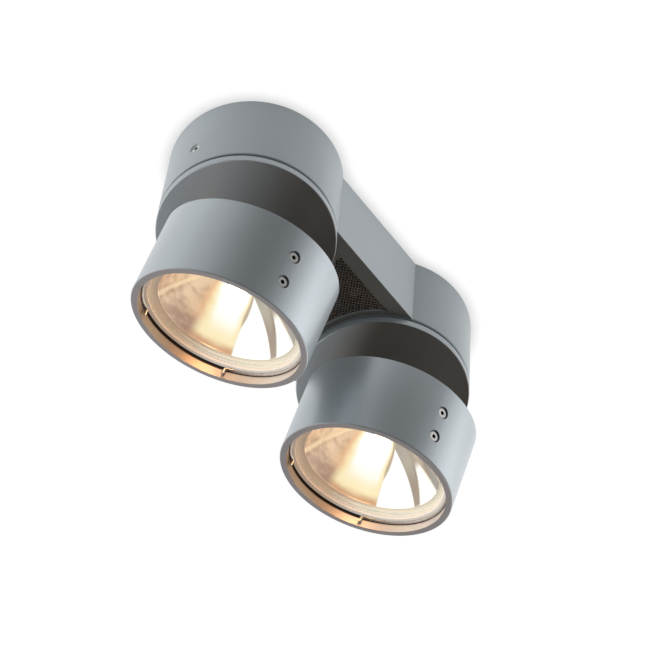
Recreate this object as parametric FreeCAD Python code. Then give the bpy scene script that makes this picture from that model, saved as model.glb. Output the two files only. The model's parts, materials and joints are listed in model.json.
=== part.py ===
import FreeCAD, Part
import math
import os

# Twin ceiling spotlight. The ceiling is the plane z = 0, everything hangs below it, and X runs
# through both canopy axes. Each unit is drawn on the Z axis with its head straight down and its
# hinge towards +X, then tilted, turned and moved to its canopy.

# Housing: two round canopies and the bridge between them
tube_radius = 55.0            # canopies, turntables and heads share it
canopy_distance = 32.0        # between the two canopies
canopy_height = 60.0
canopy_wall = 3.0
canopy_floor = 5.0
duct_width = 38.0             # window in the canopy wall behind the bridge
duct_height = 26.0
duct_level = 30.0             # middle of the window below the ceiling
bridge_width = 90.0
bridge_wall = 2.0
edge_break = 0.5              # chamfer on turned edges

# Vent grille in the underside of the bridge
grille_border = 9.0           # solid strip along the straight sides
grille_end_border = 2.8       # solid strip along the canopies
grille_lap = 2.0              # plate resting on the frame, all round
grille_thickness = 1.2
grille_pitch = 4.2
grille_hole_radius = 1.55     # centre to corner of a square hole

# Bracket on the ceiling
bracket_thickness = 2.0
bracket_width = 36.0
leg_width = 18.0
leg_reach = 46.0
bracket_clearance = 0.4       # bracket to the canopies
ceiling_slot_inset = 13.0     # middle of each slot from the canopy axis, inwards
ceiling_slot_width = 5.5
ceiling_slot_length = 16.0
cable_hole_radius = 9.0
cable_hole_inset = 15.0       # from the inner wall of the second canopy
grommet_bore_radius = 5.0
grommet_lip = 2.5
grommet_lip_thickness = 1.6

# Supply unit and terminals under the bracket
transformer_size = (26.0, 66.0, 36.0)
transformer_rounding = 3.0
transformer_screw_spacing = 24.0
transformer_screw_length = 10.0
terminal_size = (15.0, 30.0, 14.0)
terminal_offset = 17.0        # middle of the block from the canopy axis, outwards
terminal_pole_count = 3
terminal_hole_radius = 2.2

# Screws, all of one thread size
screw_radius = 2.0
screw_head_radius = 2.9
screw_head_cone = 0.9
screw_sink = 1.0              # head below the surface
socket_across_flats = 2.5
socket_depth = 1.6
countersink_margin = 1.1      # countersink wider than the head, all round
side_screw_level = 38.5       # canopy screws below the ceiling
side_screw_length = 8.0
pan_head_radius = 3.6
pan_head_height = 2.4

# Blocks that join the bridge to the canopies
joint_block_height = 14.0
joint_block_depth = 11.0      # inwards from the bridge wall
joint_block_length = 20.0
joint_block_inset = 16.0      # nearest end from the middle of the bridge
joint_screw_length = 8.0

# Turning joint between canopy and turntable
shadow_gap = 2.2
turntable_thickness = 5.8
spindle_radius = 7.0
spindle_bore_radius = 5.0
bush_wall = 2.0
bush_flange = 4.0
bush_flange_thickness = 1.5
running_clearance = 0.05
slip_ring_radius = 26.0
washer_thickness = 1.2
nut_across_flats = 20.0
nut_thickness = 5.0
spindle_tail = 2.0            # spindle past its nut
stop_pin_radius = 1.5
stop_circle_radius = 36.0
stop_groove_depth = 2.4
stop_block_half_angle = 1.6
stop_clearance = 0.6

# Head tube
head_length = 53.0
head_wall = 5.4
mouth_wall = 4.3              # thinner wall in front of the reflector flange
mouth_depth = 13.0
ring_groove_depth = 0.5
ring_groove_start = 5.4       # behind the front rim
ring_groove_width = 2.4

# Tilt hinge, set off towards the side that the head leans to
pivot_depth = 8.25            # pin inside the outer surface of the tube
pivot_inset = 34.7            # pin in front of the back rim
pivot_drop = 46.3             # pin below the turntable
pin_radius = 2.0
pin_length = 18.0
arm_thickness = 5.0
eye_radius = 4.6
arm_foot_thickness = 3.0
arm_foot_width = 22.0
arm_foot_reach = 17.0         # foot from the pin towards the middle of the disc
arm_foot_outside = 6.0        # foot from the pin towards the rim of the disc
arm_gusset_height = 5.5
arm_gusset_reach = 8.0
arm_screw_inset = 11.5        # foot screws from the pin, towards the middle
arm_screw_half_spacing = 6.5
arm_screw_length = 7.5
friction_washer = 0.6
washer_radius = 4.4
slot_clearance = 0.8
slot_end_clearance = 0.3
lug_width = 9.6
lug_depth = 6.1               # from the tube wall inwards
lug_behind_pin = 10.5
lug_before_pin = 4.5
lug_screw_angle = 10.0
lug_screw_behind_pin = 6.6
lug_screw_length = 8.0

# Inside the head, all from the back rim
cover_inset = 2.0
cover_thickness = 1.5
cover_skirt = 6.0
cover_vent_inset = 22.0       # vents inside the outer surface of the tube
cover_vent_width = 4.0
cover_vent_sweep = 34.0
cover_vent_count = 6
cover_vent_start = 43.0
cover_cable_radius = 5.0
carrier_thickness = 2.0
carrier_inset = 10.0
carrier_disc_radius = 22.0
carrier_width = 20.0
carrier_length = 29.0
carrier_strip_thickness = 3.0
head_screw_places = (18.0, 36.0)
head_screw_length = 9.0
holder_radius = 9.0
holder_back = 4.6
holder_flange = 3.0
holder_flange_thickness = 2.0
holder_pin_spacing = 6.35
holder_pin_radius = 0.65
holder_pin_clearance = 0.1
reflector_flange_width = 8.0
reflector_neck_radius = 11.0
reflector_neck_flange = 5.0
reflector_wall = 1.0
reflector_flange_thickness = 0.8
flange_clearance = 0.3
glass_thickness = 3.0
glass_step = 0.4              # each of the steps round the edge of the glass
glass_step_width = 1.3
glass_step_count = 3
seal_lip = 0.8
seal_lip_width = 2.0
seal_wall = 1.0
seal_clearance = 0.3
wire_radius = 1.0
wire_gap_angle = 96.0
wire_inset = 0.7              # middle of the wire inside the mouth wall
wire_end_radius = 20.0        # tighter arc at each end of the wire
wire_end_turn = 18.0
wire_bend_radius = 2.0
wire_prong = 4.6
lamp_radius = 6.0
lamp_length = 27.0            # glass in front of its base
pinch_width = 9.0
pinch_thickness = 4.4
pinch_length = 9.0

# How the two heads are set in the photograph
rest_azimuths = (79.3, 82.1)
rest_tilts = (24.8, 20.2)
canopy_sides = (-1, 1)

overrun = 1.0                 # cuts reach this far past the stock
full_turn = 360.0
half_turn = 180.0
quarter_turn = 90.0
reflector_points = 7

# Levels that follow from the sizes above
half_spacing = tube_radius + canopy_distance / 2
canopy_bore = tube_radius - canopy_wall
cable_hole_x = half_spacing - canopy_bore + cable_hole_inset
terminal_x = half_spacing + terminal_offset
joint_block_x = joint_block_inset + joint_block_length / 2
joint_block_y = bridge_width / 2 - bridge_wall - joint_block_depth / 2
joint_screw_angle = math.degrees(math.atan2(joint_block_y, half_spacing - joint_block_x))
floor_top = canopy_floor - canopy_height
disc_top = -canopy_height - shadow_gap
disc_under = disc_top - turntable_thickness
pivot_level = disc_under - pivot_drop
pivot_offset = tube_radius - pivot_depth
back_rim = pivot_level + pivot_inset
front_rim = back_rim - head_length
head_bore = tube_radius - head_wall
mouth_bore = tube_radius - mouth_wall
reflector_mouth_radius = mouth_bore - reflector_flange_width
cover_vent_radius = tube_radius - cover_vent_inset
countersink_radius = screw_head_radius + countersink_margin
up = FreeCAD.Vector(0, 0, 1)


def point(x, y, z):
    return FreeCAD.Vector(x, y, z)


def block(x_low, x_high, y_low, y_high, z_low, z_high):
    return Part.makeBox(x_high - x_low, y_high - y_low, z_high - z_low, point(x_low, y_low, z_low))


def rod(radius, low, high, x=0, y=0):
    return Part.makeCylinder(radius, high - low, point(x, y, low))


def turned(outline):
    # Solid of revolution about Z from (radius, level) corners
    corners = [point(r, 0, z) for r, z in outline]
    face = Part.Face(Part.makePolygon(corners + corners[:1]))
    return face.revolve(point(0, 0, 0), up, full_turn)


def ring(outer, inner, low, high):
    return turned([(inner, low), (outer, low), (outer, high), (inner, high)])


def sector(outer, inner, low, high, start, sweep):
    # Part of a ring, from the angle start over the angle sweep
    corners = [point(r, 0, z) for r, z in ((inner, low), (outer, low), (outer, high), (inner, high))]
    face = Part.Face(Part.makePolygon(corners + corners[:1]))
    return face.revolve(point(0, 0, 0), up, sweep).rotate(point(0, 0, 0), up, start)


def joined(solids):
    whole = solids[0]
    for solid in solids[1:]:
        whole = whole.fuse(solid)
    return whole.removeSplitter()


def moved(shape, placement):
    copy = shape.copy()
    copy.Placement = placement.multiply(copy.Placement)
    return copy


def pointing(direction, place):
    # Placement that lays the drawn -Z along direction, with the drawn origin at place
    turn = FreeCAD.Rotation(point(0, 0, -1), direction)
    return FreeCAD.Placement(place, turn)


def hexagon(across_flats, low, high):
    corner = across_flats / math.sqrt(3)
    turns = [math.radians(quarter_turn + side * full_turn / 6) for side in range(6)]
    corners = [point(corner * math.cos(a), corner * math.sin(a), low) for a in turns]
    return Part.Face(Part.makePolygon(corners + corners[:1])).extrude(point(0, 0, high - low))


def flat_screw_seat(length):
    # Hole that a countersunk screw fills exactly, its head level with the surface at z = 0
    return turned([(0, 0), (screw_head_radius, 0), (screw_radius, -screw_head_cone),
                   (screw_radius, -length), (0, -length)])


def flat_screw(length):
    # Countersunk screw with a hexagon socket, head up, top of the head at z = 0
    return flat_screw_seat(length).cut(hexagon(socket_across_flats, -socket_depth, overrun))


def flat_screw_hole(length):
    # What a sunk flat screw needs, from above the surface at z = 0
    slope_end = countersink_radius - screw_radius
    return turned([(0, overrun), (countersink_radius, overrun), (countersink_radius, 0),
                   (screw_radius, -slope_end), (screw_radius, -length), (0, -length)])


def pan_screw(length):
    body = turned([(0, 0), (screw_radius, 0), (screw_radius, length), (0, length)])
    head = turned([(0, -pan_head_height), (pan_head_radius, -pan_head_height), (pan_head_radius, 0), (0, 0)])
    return joined([head, body]).cut(hexagon(socket_across_flats, -pan_head_height - overrun,
                                            socket_depth - pan_head_height))


def radial_direction(angle):
    turn = math.radians(angle)
    return point(math.cos(turn), math.sin(turn), 0)


def radial(angle, radius, level):
    # Placement of a screw that goes in towards the Z axis, its surface point at this radius
    outward = radial_direction(angle)
    return pointing(outward.negative(), outward * radius + point(0, 0, level))


def sunk(placement):
    return placement.multiply(FreeCAD.Placement(point(0, 0, -screw_sink), FreeCAD.Rotation()))


def export(name, solids, placement=FreeCAD.Placement()):
    placed = [moved(solid, placement) for solid in solids]
    shape = placed[0] if len(placed) == 1 else Part.makeCompound(placed)
    if not shape.isValid():
        print("not valid:", name)
    shape.exportStep("parts/" + name + ".step")


# Housing pieces

def canopy(side):
    shell = turned([
        (spindle_radius + bush_wall + running_clearance, -canopy_height),
        (tube_radius - edge_break, -canopy_height), (tube_radius, -canopy_height + edge_break),
        (tube_radius, 0), (canopy_bore, 0), (canopy_bore, floor_top),
        (spindle_radius + bush_wall + running_clearance, floor_top)])
    duct = block(0, tube_radius + overrun, -duct_width / 2, duct_width / 2,
                 -duct_level - duct_height / 2, -duct_level + duct_height / 2)
    half_notch = bracket_width / 2 + bracket_clearance
    notch = block(0, tube_radius + overrun, -half_notch, half_notch,
                  -bracket_thickness - bracket_clearance, overrun)
    duct = duct.fuse(notch).cut(rod(slip_ring_radius, -canopy_height, overrun))
    duct.rotate(point(0, 0, 0), up, half_turn if side > 0 else 0)
    outward = half_turn if side < 0 else 0
    screw_hole = moved(flat_screw_hole(side_screw_length), radial(outward, tube_radius, -side_screw_level))
    shell = shell.cut(duct).cut(screw_hole).cut(stop_groove(side))
    for turn in (-joint_screw_angle, joint_screw_angle):
        angle = half_turn - outward + turn
        hole = moved(rod(screw_radius, -overrun, canopy_wall + overrun),
                     pointing(radial_direction(angle).negative(), radial_direction(angle) * canopy_bore
                              + point(0, 0, -duct_level)))
        shell = shell.cut(hole)
    return shell


def stop_groove(side):
    # Groove in the canopy floor that the stop pin runs in, open but for one small block
    reach = stop_pin_radius + stop_clearance
    unit = 0 if side < 0 else 1
    block_angle = rest_azimuths[unit] + half_turn
    start = block_angle + stop_block_half_angle
    return sector(stop_circle_radius + reach, stop_circle_radius - reach, -canopy_height - overrun,
                  -canopy_height + stop_groove_depth, start, full_turn - 2 * stop_block_half_angle)


def canopy_gap(radius):
    # Both canopy columns at one radius, to scribe the bridge against them
    low, high = -canopy_height - overrun, overrun
    return joined([rod(radius, low, high, side * half_spacing) for side in canopy_sides])


def bridge_housing():
    half = bridge_width / 2
    channel = block(-half_spacing, half_spacing, -half, half, -canopy_height, 0)
    channel = channel.cut(block(-half_spacing - overrun, half_spacing + overrun, -half + bridge_wall,
                                half - bridge_wall, -canopy_height + bridge_wall, overrun))
    window = block(-half_spacing, half_spacing, -half + grille_border, half - grille_border,
                   -canopy_height - overrun, -canopy_height + bridge_wall + overrun)
    window = window.cut(canopy_gap(tube_radius + grille_end_border))
    return channel.cut(window).cut(canopy_gap(tube_radius))


def grille():
    low = -canopy_height + bridge_wall
    half = bridge_width / 2 - grille_border + grille_lap
    plate = block(-half_spacing, half_spacing, -half, half, low, low + grille_thickness)
    plate = plate.cut(canopy_gap(tube_radius + grille_end_border - grille_lap))
    under = min(plate.Faces, key=lambda face: face.CenterOfMass.z)
    clear_y = bridge_width / 2 - grille_border - grille_hole_radius
    clear_x = tube_radius + grille_end_border + grille_hole_radius
    rows = int(clear_y / (grille_pitch / 2))
    columns = int(half_spacing / grille_pitch)
    holes = []
    for row in range(-rows, rows + 1):
        shift = grille_pitch / 2 if row % 2 else 0
        y = row * grille_pitch / 2
        for column in range(-columns, columns + 1):
            x = column * grille_pitch + shift
            if all(math.hypot(x - side * half_spacing, y) > clear_x for side in canopy_sides):
                r = grille_hole_radius
                corners = [point(x + r, y, low), point(x, y + r, low),
                           point(x - r, y, low), point(x, y - r, low)]
                holes.append(Part.makePolygon(corners + corners[:1]))
    holed = Part.Face([under.OuterWire] + holes, "Part::FaceMakerCheese")
    print("grille holes:", len(holes))
    return holed.extrude(point(0, 0, grille_thickness))


def ceiling_bracket():
    leg_face = half_spacing + math.sqrt(canopy_bore ** 2 - (leg_width / 2) ** 2) - bracket_clearance
    strap = block(-leg_face, leg_face, -bracket_width / 2, bracket_width / 2, -bracket_thickness, 0)
    low, high = -bracket_thickness - overrun, overrun
    corner_gap = ring(tube_radius * 2, canopy_bore - bracket_clearance, low, high)
    corner_gap = corner_gap.common(block(0, tube_radius * 2, -tube_radius, tube_radius, low, high))
    ends = []
    for side in canopy_sides:
        trim = corner_gap.copy()
        trim.rotate(point(0, 0, 0), up, half_turn if side < 0 else 0)
        trim.translate(point(side * half_spacing, 0, 0))
        ends.append(trim)
    for trim in ends:
        strap = strap.cut(trim)
    pieces = [strap]
    for side in canopy_sides:
        faces = sorted((side * leg_face, side * (leg_face - bracket_thickness)))
        pieces.append(block(faces[0], faces[1], -leg_width / 2, leg_width / 2, -leg_reach, 0))
    bracket = joined(pieces)
    for side in canopy_sides:
        x = side * (half_spacing - ceiling_slot_inset)
        half = (ceiling_slot_length - ceiling_slot_width) / 2
        radius = ceiling_slot_width / 2
        slot = joined([rod(radius, low, high, x - half), rod(radius, low, high, x + half),
                       block(x - half, x + half, -radius, radius, low, high)])
        bracket = bracket.cut(slot)
        bracket = bracket.cut(side_screw_shank(side))
    bracket = bracket.cut(rod(cable_hole_radius, low, high, cable_hole_x))
    for place in transformer_screw_places():
        bracket = bracket.cut(moved(flat_screw_seat(transformer_screw_length), place))
    return bracket


def side_screw_place(side):
    angle = half_turn if side < 0 else 0
    shift = FreeCAD.Placement(point(side * half_spacing, 0, 0), FreeCAD.Rotation())
    return shift.multiply(radial(angle, tube_radius, -side_screw_level))


def side_screw_shank(side):
    return moved(rod(screw_radius, -side_screw_length - overrun, 0), side_screw_place(side))


def transformer():
    length, width, height = transformer_size
    case = block(-length / 2, length / 2, -width / 2, width / 2,
                 -bracket_thickness - height, -bracket_thickness)
    upright = [edge for edge in case.Edges if edge.BoundBox.ZLength > transformer_rounding]
    case = case.makeFillet(transformer_rounding, upright)
    for place in transformer_screw_places():
        case = case.cut(moved(flat_screw_seat(transformer_screw_length), place))
    return case


def transformer_screw_places():
    return [FreeCAD.Placement(point(0, y, 0), FreeCAD.Rotation())
            for y in (-transformer_screw_spacing / 2, transformer_screw_spacing / 2)]


def terminal_block():
    length, width, height = terminal_size
    low = -bracket_thickness - height
    body = block(terminal_x - length / 2, terminal_x + length / 2, -width / 2, width / 2,
                 low, -bracket_thickness)
    pole_pitch = width / terminal_pole_count
    for pole in range(terminal_pole_count):
        y = (pole - (terminal_pole_count - 1) / 2) * pole_pitch
        body = body.cut(rod(terminal_hole_radius, low - overrun, low + height / 2, terminal_x, y))
    return body


def grommet():
    lip = cable_hole_radius + grommet_lip
    under = -bracket_thickness - grommet_lip_thickness
    shape = turned([(grommet_bore_radius, under), (lip, under), (lip, -bracket_thickness),
                    (cable_hole_radius, -bracket_thickness), (cable_hole_radius, 0),
                    (grommet_bore_radius, 0)])
    return moved(shape, FreeCAD.Placement(point(cable_hole_x, 0, 0), FreeCAD.Rotation()))


def joint_blocks():
    half = bridge_width / 2 - bridge_wall
    blocks = []
    columns = canopy_gap(tube_radius)
    for side in canopy_sides:
        for edge in (-1, 1):
            ends = sorted((side * joint_block_inset, side * (joint_block_inset + joint_block_length)))
            walls = sorted((edge * half, edge * (half - joint_block_depth)))
            body = block(ends[0], ends[1], walls[0], walls[1],
                         -duct_level - joint_block_height / 2, -duct_level + joint_block_height / 2)
            blocks.append(body.cut(columns).cut(joint_screw_at(side, edge)))
    return blocks


def joint_screw_at(side, edge):
    # Screw from inside the canopy, out through its wall into a joint block
    angle = joint_screw_angle * edge if side < 0 else half_turn - joint_screw_angle * edge
    direction = radial_direction(angle)
    place = direction * (canopy_bore - pan_head_height / 2)
    place = place + point(side * half_spacing, 0, -duct_level)
    return moved(pan_screw(joint_screw_length), pointing(direction.negative(), place))


# Turning joint, drawn on the Z axis

def bush():
    outer = spindle_radius + bush_wall
    inner = spindle_radius + running_clearance
    flange = outer + bush_flange
    return turned([(inner, -canopy_height), (outer, -canopy_height), (outer, floor_top), (flange, floor_top),
                   (flange, floor_top + bush_flange_thickness), (inner, floor_top + bush_flange_thickness)])


def slip_ring():
    return ring(slip_ring_radius, spindle_radius + running_clearance, disc_top, -canopy_height)


def turntable():
    disc = turned([(spindle_radius, disc_under), (tube_radius - edge_break, disc_under),
                   (tube_radius, disc_under + edge_break), (tube_radius, disc_top - edge_break),
                   (tube_radius - edge_break, disc_top), (spindle_radius, disc_top)])
    disc = disc.cut(rod(stop_pin_radius, disc_under + turntable_thickness / 2, disc_top + overrun,
                        stop_circle_radius))
    for y in (-arm_screw_half_spacing, arm_screw_half_spacing):
        disc = disc.cut(rod(screw_radius, disc_under - overrun, arm_screw_top(), arm_screw_x(), y))
    return disc


def arm_screw_x():
    return pivot_offset - arm_screw_inset


def arm_screw_top():
    return disc_under - arm_foot_thickness + screw_sink + arm_screw_length


def spindle():
    top = floor_top + bush_flange_thickness + washer_thickness + nut_thickness + spindle_tail
    return ring(spindle_radius, spindle_bore_radius, disc_under, top)


def spring_washer():
    low = floor_top + bush_flange_thickness
    return ring(spindle_radius + bush_wall + bush_flange, spindle_radius, low, low + washer_thickness)


def spindle_nut():
    low = floor_top + bush_flange_thickness + washer_thickness
    return hexagon(nut_across_flats, low, low + nut_thickness).cut(
        rod(spindle_radius, low - overrun, low + nut_thickness + overrun))


def stop_pin():
    return rod(stop_pin_radius, disc_under + turntable_thickness / 2,
               -canopy_height + stop_groove_depth - stop_clearance, stop_circle_radius)


def hinge_arm():
    half = arm_thickness / 2
    foot_low = disc_under - arm_foot_thickness
    near, far = pivot_offset - arm_foot_reach, pivot_offset + arm_foot_outside
    foot = block(near, far, -arm_foot_width / 2, arm_foot_width / 2, foot_low, disc_under)
    foot = foot.common(rod(tube_radius - edge_break, foot_low - overrun, disc_under + overrun))
    left, right = pivot_offset - eye_radius, pivot_offset + eye_radius
    outline = [point(left, -half, pivot_level), point(left, -half, foot_low - arm_gusset_height),
               point(left - arm_gusset_reach, -half, foot_low), point(right, -half, foot_low),
               point(right, -half, pivot_level)]
    sides = [Part.LineSegment(a, b).toShape() for a, b in zip(outline, outline[1:])]
    eye = Part.Arc(outline[-1], point(pivot_offset, -half, pivot_level - eye_radius), outline[0]).toShape()
    web = Part.Face(Part.Wire(sides + [eye])).extrude(point(0, arm_thickness, 0))
    arm = joined([foot, web])
    arm = arm.cut(pin_rod(pin_radius + running_clearance, arm_thickness + overrun))
    for y in (-arm_screw_half_spacing, arm_screw_half_spacing):
        arm = arm.cut(moved(flat_screw_hole(arm_screw_length), arm_screw_place(y)))
    return arm


def arm_screw_place(y):
    return pointing(up, point(arm_screw_x(), y, disc_under - arm_foot_thickness))


def pin_rod(radius, length):
    start = point(pivot_offset, -length / 2, pivot_level)
    return Part.makeCylinder(radius, length, start, point(0, 1, 0))


# Head pieces, drawn straight down on the Z axis. Levels are given from the back rim

def behind(depth):
    return back_rim - depth


def before(depth):
    return front_rim + depth


def arm_slot(inner_radius, width):
    end = behind(pivot_inset + eye_radius + slot_end_clearance)
    return block(inner_radius, tube_radius + overrun, -width / 2, width / 2, end, back_rim + overrun)


def head_tube():
    groove = mouth_bore + ring_groove_depth
    groove_low, groove_high = before(ring_groove_start), before(ring_groove_start + ring_groove_width)
    tube = turned([
        (head_bore, back_rim), (head_bore, before(mouth_depth)), (mouth_bore, before(mouth_depth)),
        (mouth_bore, groove_high), (groove, groove_high), (groove, groove_low), (mouth_bore, groove_low),
        (mouth_bore, front_rim), (tube_radius - edge_break, front_rim), (tube_radius, front_rim + edge_break),
        (tube_radius, back_rim - edge_break), (tube_radius - edge_break, back_rim)])
    tube = tube.cut(arm_slot(head_bore - overrun, arm_thickness + 2 * slot_clearance))
    for place in head_screw_places:
        tube = tube.cut(moved(flat_screw_hole(head_screw_length), head_screw_place(place)))
    for turn in (-lug_screw_angle, lug_screw_angle):
        tube = tube.cut(moved(flat_screw_hole(lug_screw_length), lug_screw_place(turn)))
    return tube


def head_screw_place(depth):
    return radial(half_turn, tube_radius, behind(depth))


def lug_screw_place(turn):
    return radial(turn, tube_radius, pivot_level + lug_screw_behind_pin)


def hinge_lugs():
    inner_face = arm_thickness / 2 + friction_washer
    low, high = pivot_level - lug_before_pin, pivot_level + lug_behind_pin
    lugs = []
    for side in (-1, 1):
        walls = sorted((side * inner_face, side * (inner_face + lug_width)))
        lug = block(head_bore - lug_depth, tube_radius, walls[0], walls[1], low, high)
        lug = lug.common(rod(head_bore, low - overrun, high + overrun))
        lug = lug.cut(pin_rod(pin_radius, pin_length))
        lug = lug.cut(moved(rod(screw_radius, -lug_screw_length, 0), lug_screw_place(side * lug_screw_angle)))
        lugs.append(lug)
    return lugs


def friction_washers():
    washers = []
    for start in (-arm_thickness / 2 - friction_washer, arm_thickness / 2):
        place = point(pivot_offset, start, pivot_level)
        outer = Part.makeCylinder(washer_radius, friction_washer, place, point(0, 1, 0))
        washers.append(outer.cut(pin_rod(pin_radius, pin_length)))
    return washers


def back_cover():
    top, under = behind(cover_inset), behind(cover_inset + cover_thickness)
    skirt_end = behind(cover_inset + cover_skirt)
    cover = turned([(cover_cable_radius, under), (head_bore - cover_thickness, under),
                    (head_bore - cover_thickness, skirt_end), (head_bore, skirt_end),
                    (head_bore, top - edge_break), (head_bore - edge_break, top), (cover_cable_radius, top)])
    half_width = cover_vent_width / 2
    for vent in range(cover_vent_count):
        start = cover_vent_start + vent * (full_turn - 2 * cover_vent_start) / (cover_vent_count - 1)
        hole = sector(cover_vent_radius + half_width, cover_vent_radius - half_width, under - overrun,
                      top + overrun, start - cover_vent_sweep / 2, cover_vent_sweep)
        for end in (start - cover_vent_sweep / 2, start + cover_vent_sweep / 2):
            middle = radial_direction(end) * cover_vent_radius
            hole = hole.fuse(rod(half_width, under - overrun, top + overrun, middle.x, middle.y))
        cover = cover.cut(hole)
    notch = pivot_offset - eye_radius - slot_clearance
    return cover.cut(arm_slot(notch, arm_thickness + 2 * slot_clearance))


def lamp_carrier():
    top, under = behind(carrier_inset), behind(carrier_inset + carrier_thickness)
    half = carrier_width / 2
    strip_end = behind(carrier_inset + carrier_length)
    disc = rod(carrier_disc_radius, under, top)
    web = block(-head_bore, 0, -half, half, under, top).common(rod(head_bore, under - overrun, top + overrun))
    strip = ring(head_bore, head_bore - carrier_strip_thickness, strip_end, top)
    strip = strip.common(block(-tube_radius, 0, -half, half, strip_end - overrun, top + overrun))
    carrier = joined([disc, web, strip])
    carrier = carrier.cut(rod(holder_radius, under - overrun, top + overrun))
    for place in head_screw_places:
        carrier = carrier.cut(moved(rod(screw_radius, -head_screw_length, 0), head_screw_place(place)))
    return carrier


def lampholder():
    plate = behind(carrier_inset)
    front = behind(carrier_inset + carrier_thickness)
    flange = holder_radius + holder_flange
    body = turned([(0, front), (holder_radius, front), (holder_radius, plate), (flange, plate),
                   (flange, plate + holder_flange_thickness),
                   (holder_radius, plate + holder_flange_thickness),
                   (holder_radius, behind(holder_back)), (0, behind(holder_back))])
    for y in (-holder_pin_spacing / 2, holder_pin_spacing / 2):
        body = body.cut(rod(holder_pin_radius + holder_pin_clearance, front - overrun, plate + overrun, 0, y))
    return body


def lamp():
    base = behind(carrier_inset + carrier_thickness)
    pinch_end = base - pinch_length
    tip = base - lamp_length
    shoulder = pinch_end + lamp_radius / 2
    cylinder_end = tip + lamp_radius
    outline = [point(0, 0, shoulder), point(lamp_radius, 0, pinch_end), point(lamp_radius, 0, cylinder_end)]
    sides = [Part.LineSegment(a, b).toShape() for a, b in zip(outline, outline[1:])]
    dome_middle = lamp_radius * math.sqrt(1 / 2)
    end = point(0, 0, tip)
    dome = Part.Arc(outline[-1], point(dome_middle, 0, cylinder_end - dome_middle), end).toShape()
    axis = Part.LineSegment(end, outline[0]).toShape()
    bulb = Part.Face(Part.Wire(sides + [dome, axis])).revolve(point(0, 0, 0), up, full_turn)
    pinch = block(-pinch_thickness / 2, pinch_thickness / 2, -pinch_width / 2, pinch_width / 2,
                  pinch_end, base)
    pins = [rod(holder_pin_radius, base, behind(carrier_inset), 0, y)
            for y in (-holder_pin_spacing / 2, holder_pin_spacing / 2)]
    return joined([bulb, pinch] + pins)


def reflector():
    flange_top = before(mouth_depth - reflector_flange_thickness)
    rim = before(mouth_depth)
    seat = behind(carrier_inset + carrier_thickness)
    neck = seat - reflector_flange_thickness
    # Parabola about Z through the mouth and the neck
    growth = (reflector_mouth_radius ** 2 - reflector_neck_radius ** 2) / (neck - rim)
    levels = [neck + (rim - neck) * share / (reflector_points - 1) for share in range(reflector_points)]
    inside = [point(math.sqrt(reflector_neck_radius ** 2 + growth * (neck - level)), 0, level)
              for level in levels]
    outside = [place + point(reflector_wall, 0, 0) for place in inside]
    neck_edge = point(reflector_neck_radius + reflector_neck_flange, 0, neck)
    flange_edge = point(mouth_bore - flange_clearance, 0, rim)
    inner_curve, outer_curve = Part.BSplineCurve(), Part.BSplineCurve()
    inner_curve.interpolate(inside)
    outer_curve.interpolate(outside[::-1])
    corners = [inside[-1], point(reflector_mouth_radius, 0, flange_top),
               point(mouth_bore - flange_clearance, 0, flange_top), flange_edge, outside[-1]]
    neck_corners = [outside[0], neck_edge, point(neck_edge.x, 0, seat),
                    point(inside[0].x, 0, seat), inside[0]]
    edges = [inner_curve.toShape()]
    edges += [Part.LineSegment(a, b).toShape() for a, b in zip(corners, corners[1:])]
    edges += [outer_curve.toShape()]
    edges += [Part.LineSegment(a, b).toShape() for a, b in zip(neck_corners, neck_corners[1:])]
    return Part.Face(Part.Wire(Part.__sortEdges__(edges))).revolve(point(0, 0, 0), up, full_turn)


def glass_levels():
    rear = before(mouth_depth - reflector_flange_thickness - seal_lip)
    return rear - glass_thickness, rear


def front_glass():
    front, rear = glass_levels()
    edge = mouth_bore - seal_clearance - seal_wall
    outline = [(0, front), (edge, front), (edge, rear)]
    radius, level = edge - seal_lip_width, rear
    outline.append((radius, level))
    for step in range(glass_step_count):
        level -= glass_step
        outline.append((radius, level))
        radius -= glass_step_width
        outline.append((radius, level))
    outline.append((0, level))
    return turned(outline)


def glass_seal():
    front, rear = glass_levels()
    outer = mouth_bore - seal_clearance
    edge = outer - seal_wall
    lip = edge - seal_lip_width
    return turned([(lip, front - seal_lip), (outer, front - seal_lip), (outer, rear + seal_lip),
                   (lip, rear + seal_lip), (lip, rear), (edge, rear), (edge, front), (lip, front)])


def retaining_ring():
    # Sprung wire in its groove. Each end leaves the groove by a tighter arc, bends forward and
    # ends in a prong to pinch it by
    front, rear = glass_levels()
    level = point(0, 0, front - seal_lip - wire_radius)
    radius = mouth_bore - wire_inset
    ends = []
    for edge in (-1, 1):
        start = radial_direction(edge * wire_gap_angle / 2)
        arc_middle = start * (radius - wire_end_radius) + level
        turns = [edge * (wire_gap_angle / 2 - share * wire_end_turn) for share in (0, 1 / 2, 1)]
        arc = [arc_middle + radial_direction(turn) * wire_end_radius for turn in turns]
        heading = radial_direction(edge * (wire_gap_angle / 2 - wire_end_turn - quarter_turn))
        slope = math.sqrt(1 / 2)
        bend = [arc[-1], arc[-1] + (heading * slope - up * (1 - slope)) * wire_bend_radius,
                arc[-1] + (heading - up) * wire_bend_radius]
        tip = point(bend[-1].x, bend[-1].y, level.z - wire_prong)
        ends.append((arc, bend, tip))
    (arc_a, bend_a, tip_a), (arc_b, bend_b, tip_b) = ends
    edges = [Part.LineSegment(tip_a, bend_a[-1]).toShape(), Part.Arc(*bend_a[::-1]).toShape(),
             Part.Arc(*arc_a[::-1]).toShape(),
             Part.Arc(arc_a[0], level - point(radius, 0, 0), arc_b[0]).toShape(),
             Part.Arc(*arc_b).toShape(), Part.Arc(*bend_b).toShape(),
             Part.LineSegment(bend_b[-1], tip_b).toShape()]
    profile = Part.Wire(Part.Circle(tip_a, up, wire_radius).toShape())
    return Part.Wire(edges).makePipeShell([profile], True, False)


# Writing the parts

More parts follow.
